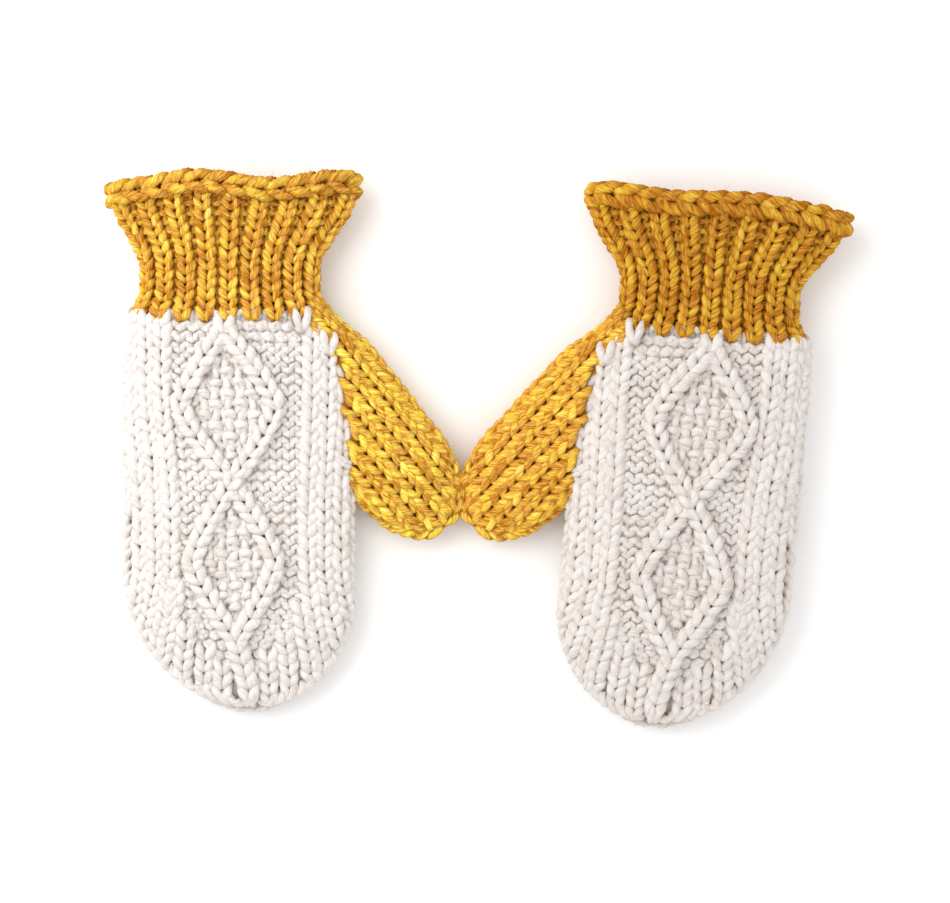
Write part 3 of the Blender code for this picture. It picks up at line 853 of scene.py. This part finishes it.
def knit_back(side):
    ground = Skein(31)
    row_count = int((HAND_LENGTH - 0.014) / PURL_ROW)
    for row in range(row_count):
        y = -0.0052 - row * PURL_ROW
        left = float(pinky_edge(y)) + 0.0205 + 0.004 * float(ease(-0.04, -0.09, y))
        right = float(index_edge(y)) - 0.0175
        xs = np.linspace(left, right, 200)
        points, normals = drape(hand_height, xs, y + 0.0004 * np.sin(xs * 150 + row))
        stitches = (right - left) / PURL_STITCH

        def face(index, row=row, left=left, right=right, stitches=stitches, y=y):
            x = left + (index + 0.5) * (right - left) / max(round(stitches), 1)
            return -0.55 if moss_here(x, y) and (index + row) % 2 else 1.0

        bump_row(ground, points, normals, PURL_STITCH, height=0.0038, radius=0.00202, swing=0.0012,
                 lift=-0.0034, faces=face)

    knots = Skein(34)
    t = np.linspace(0, 1, 9)
    for row in range(row_count):
        y = -0.0052 - row * PURL_ROW
        middle, offset = (float(value[0]) for value in strand_offset(np.array([y])))
        for column in range(-4, 5):
            x = middle + column * 0.0058
            if abs(x - middle) > offset - 0.0058:
                continue
            turn = knots.random.normal(0, 0.18)
            jog = knots.random.normal(0, 0.0004, 2)
            if (row + column) % 2:
                xs = x + jog[0] + (t - 0.5) * 0.0060
                ys = y + jog[1] + 0.0015 * np.sin(math.pi * t) + (t - 0.5) * 0.0060 * turn
                depth = -0.0010 - 0.0034 * np.abs(2 * t - 1) ** 2.0
            else:
                xs = x + jog[0] + (t - 0.5) * 0.0060 * turn + 0.0012 * (t - 0.5)
                ys = y + jog[1] + (t - 0.5) * 0.0064
                depth = -0.0020 - 0.0030 * np.abs(2 * t - 1) ** 2.2
            points, normals = drape(hand_height, xs, ys)
            radii = 0.00232 * (0.70 + 0.30 * np.sin(math.pi * t))
            # Painted shade at both ends of each bump, where it sinks into the fabric.
            crease_shade = ease(0.55, 1.0, np.abs(2 * t - 1))
            sunk = points + depth[:, None] * normals
            knots.lay(sunk[None], radii[None], normals[None], crease_shade=crease_shade[None])

    bands = Skein(32)
    ys = np.linspace(-HAND_LENGTH + 0.001, -0.001, 200)
    for x0, first in FAR_BAND + THUMB_BAND + TIP_COLUMNS:
        lean = 0.0045 * ease(-0.03, -0.10, ys) if x0 < 0 else -0.002 * ease(-0.03, -0.10, ys)
        fan = 0.30 * (x0 - TIP_OFFSET) * ease(-0.118, -0.190, ys)
        xs = x0 + lean * (abs(x0) > 0.03) + fan
        inside = (xs > pinky_edge(ys) + 0.0006) & (xs < index_edge(ys) - 0.0006) & (ys < first + 0.002)
        points, normals = drape(hand_height, xs[inside], ys[inside])
        braid(bands, points, normals, BAND_ROW, BAND_PITCH, radius=0.00260, lift=-0.0014, spread=0.36,
              dive=0.60, long=1.04)

    for x, y in FORKS:
        points, normals = drape(hand_height, x, np.linspace(y - 0.0055, y + 0.0022, 24))
        braid(bands, points, normals, 0.0077, width=0.0072, radius=0.0022, lift=0.0016, spread=0.34, dive=0.6)
    points, normals = drape(hand_height, np.linspace(0.0475, 0.0560, 20), np.linspace(-0.0700, -0.0755, 20))
    braid(bands, points, normals, 0.011, width=0.0060, radius=0.0020, lift=0.0002, spread=0.22, dive=0.5)

    cables = Skein(33)
    ys = np.linspace(-0.1825, -0.004, 266)
    middle, offset = strand_offset(ys)
    for hand in (-1, 1):
        swap = np.where((ys < CABLES_CROSS) & (ys > CABLES_MEET), -hand, hand)
        points, normals = drape(hand_height, middle + swap * offset, ys)
        over = 0.0011 * np.exp(-((ys - CABLES_CROSS) / 0.006) ** 2) * hand
        points = points + over[:, None] * normals
        braid(cables, points, normals, 0.0062, width=0.0078, radius=CABLE_YARN, lift=0.0007, spread=0.36,
              dive=0.78)

    bands.fluff(500, length=0.0036, radius=0.00006)
    cables.fluff(260, length=0.0036, radius=0.00006)
    lining = Skein(35)
    for column in range(-6, 7):
        x = 0.0005 + column * 0.0076
        points, normals = drape(hand_height, x, np.linspace(-HINGE_DROP - 0.026, -HINGE_DROP + 0.022, 50))
        braid(lining, points - 0.0066 * normals, -normals, BAND_ROW, BAND_PITCH, radius=0.0018, lift=-0.0009,
              spread=0.30)
    knits = {"ground": ground, "moss": knots, "bands": bands, "cables": cables, "lining": lining}
    pieces = [skein.mesh("back_" + name, side, CREAM_WOOL_WITH_PAINTED_SHADE) for name, skein in knits.items()]
    ys = np.linspace(-HAND_LENGTH + 0.004, -0.0005, 60)
    pieces.append(face_backing("back_backing", side, ys, 0.0, (0.0036, 0.0052)))
    start, end = (to_table(side, np.array((0.0, -HINGE_DROP + step, HAND_HEIGHT))) for step in (FOLD, -FOLD))
    for piece in pieces:
        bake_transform(piece)
    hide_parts(side + "_hand_back", side + "_flap_back")


for side in SIDES:
    knit_back(side)


# ------------------------------------------------------------
# Side walls, palm and cap underside.
# Plain knit in the same cream wool. The side walls turn down from the back to the palm, and the
# cap's underside carries the lip that laps over the finger opening.


def palm_raise(y):
    """How far the palm steps up to pass over the cap's lip."""
    return 0.0056 * (1 - ease(-0.074, -0.060, y))


def knit_side_and_palm(side):
    parts = {"hand": Skein(41), "cap": Skein(42)}
    for body, skein in parts.items():
        if body == "hand":
            ys = np.linspace(-HINGE_DROP + 0.0006, -0.001, 120)
        else:
            tip, root = -HAND_LENGTH + 0.0002, -HINGE_DROP - 0.0006
            ys = tip + (root - tip) * (1 - np.cos(0.5 * math.pi * np.linspace(0, 1, 160)))
        for seam in (0.0, math.pi):
            covered = body == "hand" and seam == 0.0
            free = ys[ys < -CROTCH_DROP + 0.008] if covered else ys
            for distance in (0.0045, -0.0040) if body == "hand" else (-0.0005, -0.0085):
                points, normals = side_line(hand_section, free, seam, distance)
                braid(skein, points, normals, BAND_ROW, width=0.0080, radius=CREAM_YARN, lift=-0.0016,
                      dive=0.8)
        low = -0.081 if body == "hand" else -HAND_LENGTH + 0.004
        high = -0.001 if body == "hand" else -HINGE_DROP
        ys = np.linspace(low, high, 120)
        for column in range(-6, 7):
            xs = column * 0.0078 + 0.0005
            inside = (xs > pinky_edge(ys) + 0.004) & (xs < index_edge(ys) - 0.004)
            if inside.sum() < 8:
                continue
            y = ys[inside]
            middle, half, bottom, top = hand_section(y)
            fall = np.minimum(crown(xs - middle, half) * 1.08, 1.0)
            z = (bottom + top) / 2 - ((bottom + top) / 2 - bottom) * fall + 0.0002
            if body == "hand":
                z = z + palm_raise(y)
            points = np.stack([np.full(len(y), xs), y, z], -1)
            normals = np.tile((0.0, 0.0, -1.0), (len(y), 1))
            braid(skein, points, normals, BAND_ROW, width=0.0078, radius=CREAM_YARN, lift=-0.0022, dive=0.7)
    for skein in parts.values():
        skein.fluff(400, length=0.0036, radius=0.00006)
    hand = parts["hand"].mesh("palm_knit", side, CREAM_WOOL_WITH_PAINTED_SHADE)
    cap = parts["cap"].mesh("cap_palm_knit", side, CREAM_WOOL_WITH_PAINTED_SHADE)
    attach(hand, side + "_hand")
    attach(cap, side + "_cap")
    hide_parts(side + "_hand_palm")
    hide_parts(side + "_flap_palm")
    reaches = (("hand", -HINGE_DROP + 0.016, -0.001), ("cap", -HAND_LENGTH + 0.004, -HINGE_DROP))
    for body, low, high in reaches:
        backing = face_backing(body + "_palm_backing", side, np.linspace(low, high, 40), math.pi,
                               (0.0040, 0.0054), palm_raise if body == "hand" else None)
        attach(backing, side + "_" + body)


for side in SIDES:
    knit_side_and_palm(side)


# ------------------------------------------------------------
# The finger opening's rib and the cap's lip.
# Two cream ribbed bands: one round the four fingers under the cap, one along the cap's edge that
# laps over it on the palm.

RIB_LENGTH = 0.0155
RIB_REACH = 0.012
RIB_LOW = 0.0059
RIB_HIGH = 0.0224
LIP_LENGTH = 0.020
WALL = 0.005


def rib_section(y):
    """The finger opening's band, seen along the fingers."""
    y = np.asarray(y, float)
    left = pinky_edge(np.array(-HINGE_DROP)) + 1.5 * WALL
    right = index_edge(np.array(-HINGE_DROP)) - 1.5 * WALL
    ones = np.ones_like(y)
    return (left + right) / 2 * ones, (right - left) / 2 * ones, RIB_LOW * ones, RIB_HIGH * ones


def knit_rib_and_lip(side):
    rib = Skein(51)
    columns = 24
    lean = RIB_REACH / (RIB_HIGH - RIB_LOW)

    def slanted(points):
        points[..., 1] -= lean * (points[..., 2] - RIB_LOW)
        return points

    ys = np.linspace(-HINGE_DROP, -HINGE_DROP + RIB_LENGTH, 20)
    for column in range(columns):
        points, normals = tube_path(rib_section, ys, (column + 0.5) / columns, 0.0004)
        braid(rib, slanted(points), normals, 0.0044, width=0.0068, radius=0.0016, lift=-0.0008, spread=0.30)
    grid = np.linspace(-HINGE_DROP, -HINGE_DROP + RIB_LENGTH, 8)
    band = rib.mesh("finger_rib_knit", side, CREAM_WOOL_WITH_PAINTED_SHADE)
    backing = tube_backing("finger_rib_backing", side, rib_section, grid, (0.0016, 0.0038),
                           CREAM_BACKING_PAINTED_SHADE, place=slanted)
    for piece in (band, backing):
        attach(piece, side + "_hand")
    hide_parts(side + "_finger_rib")

    lip = Skein(52)
    lip_half = HAND_WIDTH / 2 - WALL
    ys = np.linspace(-HINGE_DROP - 0.001, -HINGE_DROP + LIP_LENGTH, 24)
    for column in range(15):
        x = -lip_half + (column + 0.5) * 2 * lip_half / 15
        for z, up in ((0.0006, -1.0), (WALL - 0.0004, 1.0)):
            points = np.stack([np.full(24, x), ys, np.full(24, z)], -1)
            normals = np.tile((0.0, 0.0, up), (24, 1))
            braid(lip, points, normals, 0.0044, width=0.0064, radius=0.0015, lift=-0.0012, spread=0.30)
    knit = lip.mesh("lip_knit", side, CREAM_WOOL_WITH_PAINTED_SHADE)
    xs, grid_y = np.meshgrid(np.linspace(-lip_half + 0.001, lip_half - 0.001, 40), ys)
    outer = np.stack([xs, grid_y, np.full_like(xs, WALL - 0.0018)], -1)
    inner = np.stack([xs, grid_y, np.full_like(xs, 0.0018)], -1)
    body = sheet_solid("lip_backing", side, outer, inner, CREAM_BACKING_PAINTED_SHADE)
    for piece in (knit, body):
        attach(piece, side + "_cap")
    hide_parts(side + "_flap_lip")


for side in SIDES:
    knit_rib_and_lip(side)


# ------------------------------------------------------------
# Thumb and gusset.
# Plain knit in the cuff's marled mustard wool, running slantwise from the wrist to a gathered
# thumb tip; where it meets the cream back, the cream edge steps down in short forked stitches.

THUMB_WIDTH = 0.050
THUMB_HEIGHT = 0.023
THUMB_LENGTH = 0.037
THUMB_ANGLE = math.radians(52.0)
# The stepped seam with the cream wool: drop below the wrist, and distance from the middle.
SEAM = ((0.0, 0.028), (0.010, 0.034), (0.026, 0.0510), (0.087, 0.0518))
THUMB_STITCH = 0.0061
THUMB_PITCH = 0.0082
# A lighter copy of the same mustard wool: painted light on the right mitten's thumb.
MUSTARD_IN_PAINTED_LIGHT = mustard_wool("mustard_wool_painted_light", (1.10, 1.24, 1.26), painted_shade_strength=0.70)
THUMB_WOOL_WITH_PAINTED_LIGHT = {"right": MUSTARD_IN_PAINTED_LIGHT, "left": MUSTARD}
THUMB_ALONG = np.array((math.cos(THUMB_ANGLE), -math.sin(THUMB_ANGLE)))
THUMB_ACROSS = np.array((math.sin(THUMB_ANGLE), math.cos(THUMB_ANGLE)))
THUMB_ROOT = np.array((HAND_WIDTH / 2 - 0.0006, -CROTCH_DROP)) + THUMB_ACROSS * THUMB_WIDTH / 2


def thumb_section(back):
    """Middle, half width, bottom and top of the thumb; back runs from the root to the wrist."""
    s = -np.asarray(back, float)
    share = np.clip(s / THUMB_LENGTH, 0.0, 0.999)
    half = THUMB_WIDTH / 2 * (1 - share**2.2) ** (1 / 2.2) * (1 - 0.16 * ease(-0.048, -0.074, s))
    blunt = 0.4 + 0.6 * ease(0.0, 0.03, THUMB_LENGTH - s)
    top = THUMB_HEIGHT + (HAND_HEIGHT - 0.002 - THUMB_HEIGHT) * ease(-0.01, -0.06, s)
    level = 0.42 * top
    return np.zeros_like(s), half, level * (1 - blunt), level + (top - level) * blunt


def thumb_to_hand(points, root=THUMB_ROOT):
    """From the thumb's own drawing (x across, y towards the wrist) to the mitten's."""
    flat = root + points[..., 0:1] * THUMB_ACROSS - points[..., 1:2] * THUMB_ALONG
    return np.concatenate([flat, points[..., 2:3]], -1)


def thumb_height(x, y):
    """Upper side of thumb and gusset, in the mitten's drawing."""
    across = (x - THUMB_ROOT[0]) * THUMB_ACROSS[0] + (y - THUMB_ROOT[1]) * THUMB_ACROSS[1]
    along = (x - THUMB_ROOT[0]) * THUMB_ALONG[0] + (y - THUMB_ROOT[1]) * THUMB_ALONG[1]
    _, half, low, high = thumb_section(-along)
    own = (low + high) / 2 + (high - low) / 2 * crown(across, half)
    beside = (x < index_edge(y)) & (y < 0.004)
    return np.where(beside, np.maximum(own, hand_height(x, np.minimum(y, 0.0)) + 0.0003), own)


def gusset_side(points):
    """True where a spot is on the mustard side of the stepped seam."""
    x, y = points[:, 0], points[:, 1]
    seam = np.interp(-y, *zip(*SEAM))
    return (x > seam) & (y < 0.0036)


def beyond_palm(points):
    """True on the mustard side, past the edge of the cream palm."""
    return gusset_side(points) & (points[:, 0] > 0.0545)


def knit_thumb(side):
    skein = Skein(61)
    backs = np.linspace(-THUMB_LENGTH + 0.0008, 0.082, 200)
    for column in range(-3, 4):
        v = column * THUMB_PITCH * 0.93
        half = thumb_section(backs)[1]
        back = backs[np.abs(v) < half - 0.0012]
        flat = THUMB_ROOT + v * THUMB_ACROSS - back[:, None] * THUMB_ALONG
        points, normals = drape(thumb_height, flat[:, 0], flat[:, 1])
        braid(skein, points, normals, THUMB_STITCH, THUMB_PITCH, radius=0.00232, lift=-0.0012,
              keep=gusset_side, spread=0.35, dive=0.70, long=1.08)
    for seam in (0.0, math.pi):
        ys = -THUMB_LENGTH + 0.0002 + 0.1155 * (1 - np.cos(0.5 * math.pi * np.linspace(0, 1, 160)))
        for distance in (0.0045, -0.0040):
            points, normals = side_line(thumb_section, ys, seam, distance)
            normals = thumb_to_hand(normals, root=0.0)
            braid(skein, thumb_to_hand(points), normals, THUMB_STITCH, THUMB_PITCH, radius=YARN, lift=-0.0016,
                  keep=gusset_side, dive=0.8)
    for column in range(-2, 3):
        v = column * THUMB_PITCH
        half = thumb_section(backs)[1]
        back = backs[np.abs(v) < half - 0.004]
        _, _, low, _ = thumb_section(back)
        points = np.stack([np.full(len(back), v), back, low + 0.0003], -1)
        normals = np.tile((0.0, 0.0, -1.0), (len(back), 1))
        braid(skein, thumb_to_hand(points), normals, THUMB_STITCH, THUMB_PITCH, radius=YARN, lift=-0.0022,
              keep=beyond_palm, dive=0.7)
    skein.fluff(600, length=0.0036, radius=0.00006)
    knit = skein.mesh("thumb_knit", side, THUMB_WOOL_WITH_PAINTED_LIGHT)
    grid = np.linspace(-THUMB_LENGTH + 0.003, 0.066, 50)
    body = tube_backing("thumb_backing", side, thumb_section, grid, (0.0034, 0.0052), MUSTARD_BACKING_PAINTED_SHADE,
                        place=thumb_to_hand, count=65)
    pivot = np.array((*(THUMB_ROOT + THUMB_ALONG * 0.004), THUMB_HEIGHT / 2))
    reach = np.array((*(THUMB_ALONG * 0.009), 0.0))
    for piece in (knit, body):
        tuple(to_table(side, pivot - reach))
        tuple(to_table(side, pivot + reach))
        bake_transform(piece)
    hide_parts(side + "_thumb", side + "_thumb_gusset")


for side in SIDES:
    knit_thumb(side)
